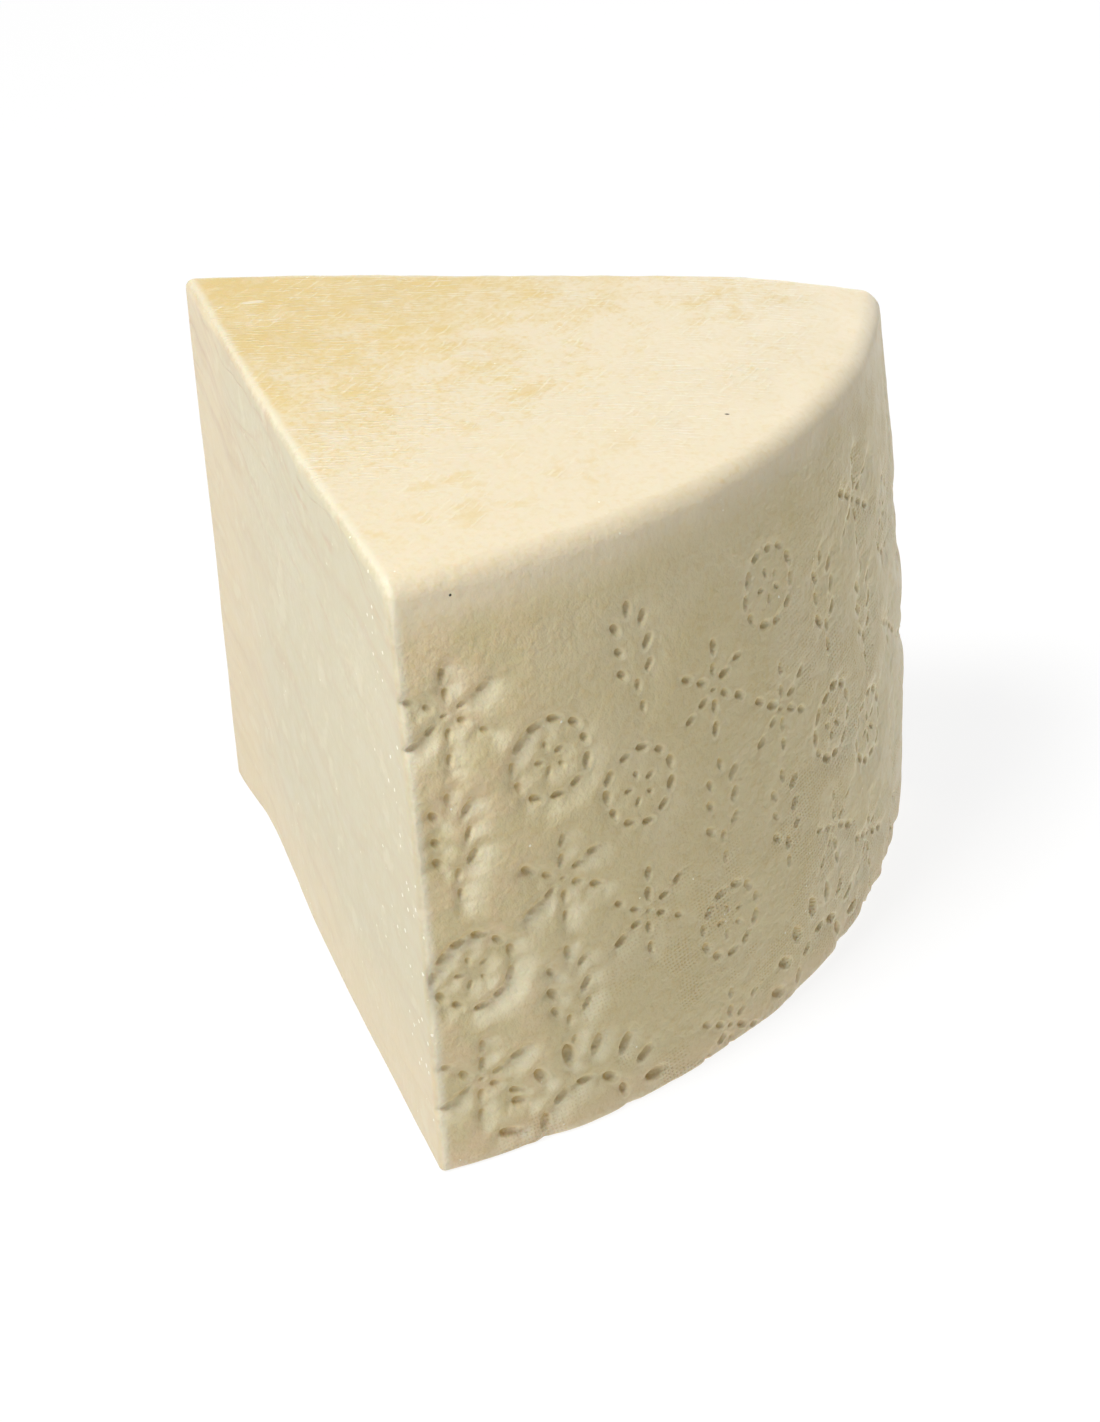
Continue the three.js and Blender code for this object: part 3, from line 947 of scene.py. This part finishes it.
def cheese_material(colours):
    """One material for the whole wedge: the top, the rind and the cuts blend into each other at the worn
    edges, which are painted clearer and paler as a highlight. Salt grains, a scratch on the top and two
    dark specks lie over them."""
    material = bpy.data.materials.new("cheese")
    skin = Skin(material)
    on_top = skin.step(skin.wavering(skin.z, skin.fine, 3 * MM), HEIGHT - 12 * MM, HEIGHT - 2 * MM)
    on_cut = skin.step(skin.wavering(skin.from_cut, skin.fine, -0.9 * MM), 0.5 * MM, -0.4 * MM)
    on_cut = skin.maths("MAXIMUM", on_cut, skin.step(skin.z, 0.7 * MM, 0.1 * MM))
    # Painted highlight: a paler strip along the cuts' rounded edges.
    edge_highlight = skin.wavering(skin.from_cut, skin.fine, -1.5 * MM)
    edge_highlight = skin.step(edge_highlight, 2.0 * MM, 0.3 * MM, 0.0, 0.75)

    top_colour, top_height = top_look(skin, colours)
    rind_colour, rind_height = rind_look(skin, colours)
    cut_colour, cut_height = cut_look(skin, colours)
    scratch = skin.times(skin.streak(*SCRATCH), 0.5)
    coloured = skin.coated(
        rind_colour,
        (on_top, top_colour),
        (edge_highlight, colours.edge),
        (on_cut, cut_colour),
        (skin.maths("MAXIMUM", salt_grains(skin, on_cut), scratch), colours.glint),
        *((skin.streak(*speck), SPECK_COLOUR) for speck in SPECKS),
    )
    height = skin.coated(rind_height, (on_top, top_height), (on_cut, cut_height))
    bump = skin.add("ShaderNodeBump", {"Height": height, "Distance": 1.0, "Strength": 1.0})
    body = skin.add(
        "ShaderNodeBsdfPrincipled",
        {
            "Base Color": coloured,
            "Roughness": skin.step(skin.mottle, 0.3, 0.7, 0.42, 0.58),
            "Normal": bump.outputs["Normal"],
            "IOR": 1.44,
            "Subsurface Weight": 0.3,
            "Subsurface Radius": (1.0, 0.62, 0.3),
            "Subsurface Scale": 1.3 * MM,
        },
    )
    skin.add("ShaderNodeOutputMaterial", {"Surface": body.outputs["BSDF"]})
    return material


# ---- The piece and the stage ----

class CHEESE_OT_wedge(bpy.types.Operator):
    """Make the cheese wedge with its punched rind"""

    bl_idname = "cheese.wedge"
    bl_label = "Cheese wedge"

    def execute(self, context):
        shape = context.scene.chunk_shape
        marks = context.scene.punched_marks
        rows, middles = wedge_grid(shape)
        points = np.concatenate([rows.reshape(-1, 3), middles])
        rind = RindMap(marks, shape)
        points = weathered(imprinted(settled(points, shape), rind, shape), shape)
        quads, fans = wedge_faces(*rows.shape[:2])
        wedge = bpy.data.objects.new("cheese_wedge", mesh_of("cheese_wedge", points, quads, fans))
        context.scene.collection.objects.link(wedge)
        thinned(wedge, shape.triangles)
        store_fields(wedge.data, rind, shape)
        wedge.data.polygons.foreach_set("use_smooth", np.ones(len(wedge.data.polygons), bool))
        wedge.data.materials.append(cheese_material(context.scene.cheese_colours))
        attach(wedge, "root")
        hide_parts("cheese_chunk")
        return {"FINISHED"}


def floor_material():
    """White table: four fifths its own even light, so that shadows on it stay faint."""
    material = bpy.data.materials.new("white_table")
    nodes = Nodes(material)
    lit = nodes.add("ShaderNodeBsdfDiffuse", {"Color": (0.9, 0.9, 0.9, 1)})
    glow = nodes.add("ShaderNodeEmission", {"Color": (1, 1, 1, 1), "Strength": 1.06})
    both = nodes.add("ShaderNodeMixShader", {"Fac": 0.8})
    nodes.put(both.inputs[1], lit.outputs[0])
    nodes.put(both.inputs[2], glow.outputs[0])
    nodes.add("ShaderNodeOutputMaterial", {"Surface": both.outputs[0]})
    return material


def make_floor(size):
    """A flat white table top just under the wedge."""
    top = -0.1 * MM
    corners = [(x * size / 2, y * size / 2, top) for x, y in ((-1, -1), (1, -1), (1, 1), (-1, 1))]
    mesh = bpy.data.meshes.new("table")
    mesh.from_pydata(corners, [], [(0, 1, 2, 3)])
    mesh.materials.append(floor_material())
    table = bpy.data.objects.new("table", mesh)
    bpy.context.scene.collection.objects.link(table)


def make_light(name, power, size, place):
    """A square white light at a place, turned to the middle of the cheese."""
    light = bpy.data.lights.new(name, "AREA")
    light.energy = power
    light.size = size
    lamp = bpy.data.objects.new(name, light)
    lamp.location = place
    lamp.rotation_mode = "QUATERNION"
    middle = Vector((0, 0, HEIGHT / 2))
    lamp.rotation_quaternion = (middle - Vector(place)).to_track_quat("-Z", "Y")
    bpy.context.scene.collection.objects.link(lamp)


def make_camera(table):
    """The camera at the photograph's angle."""
    lens = bpy.data.cameras.new("camera")
    lens.lens = table.lens
    lens.sensor_width = 36
    camera = bpy.data.objects.new("camera", lens)
    camera.location = table.camera_place
    sight = Vector(table.camera_aim) - Vector(table.camera_place)
    camera.rotation_mode = "QUATERNION"
    roll = Quaternion((0, 0, 1), table.camera_roll)
    camera.rotation_quaternion = sight.to_track_quat("-Z", "Y") @ roll
    lens.clip_start = 0.01
    lens.clip_end = 50
    bpy.context.scene.collection.objects.link(camera)
    bpy.context.scene.camera = camera


def make_sky(strength):
    """Even white light from all round."""
    sky = bpy.data.worlds.new("sky")
    nodes = Nodes(sky)
    glow = nodes.add("ShaderNodeBackground", {"Color": (1, 1, 1, 1), "Strength": strength})
    nodes.add("ShaderNodeOutputWorld", {"Surface": glow.outputs[0]})
    bpy.context.scene.world = sky


class CHEESE_OT_stage(bpy.types.Operator):
    """Make the white table, the lights and the camera"""

    bl_idname = "cheese.stage"
    bl_label = "White table"

    def execute(self, context):
        table = context.scene.white_table
        make_floor(table.floor_size)
        make_camera(table)
        make_sky(table.sky)
        make_light("key", table.key_power, table.key_size, table.key_place)
        make_light("fill", table.fill_power, table.fill_size, table.fill_place)
        context.scene.view_settings.view_transform = "Standard"
        return {"FINISHED"}


class CHEESE_PT_panel(bpy.types.Panel):
    """Sizes, colours and light, and the operators that make the cheese and its table"""

    bl_label = "Cheese"
    bl_idname = "CHEESE_PT_panel"
    bl_space_type = "VIEW_3D"
    bl_region_type = "UI"
    bl_category = "Cheese"

    def draw(self, context):
        for group in GROUPS:
            settings = getattr(context.scene, group)
            box = self.layout.box()
            for name in settings.bl_rna.properties.keys():
                if name not in ("rna_type", "name"):
                    box.prop(settings, name)
        for operator in (CHEESE_OT_wedge, CHEESE_OT_stage):
            self.layout.operator(operator.bl_idname)


GROUPS = {
    "chunk_shape": ChunkShape,
    "punched_marks": PunchedMarks,
    "cheese_colours": CheeseColours,
    "white_table": WhiteTable,
}
CLASSES = (*GROUPS.values(), CHEESE_OT_wedge, CHEESE_OT_stage, CHEESE_PT_panel)


def register():
    for cls in CLASSES:
        bpy.utils.register_class(cls)
    for name, group in GROUPS.items():
        setattr(bpy.types.Scene, name, PointerProperty(type=group))


def unregister():
    for name in GROUPS:
        delattr(bpy.types.Scene, name)
    for cls in reversed(CLASSES):
        bpy.utils.unregister_class(cls)


def main():
    register()
    bpy.ops.cheese.wedge()
    bpy.ops.cheese.stage()


if __name__ == "__main__":
    main()
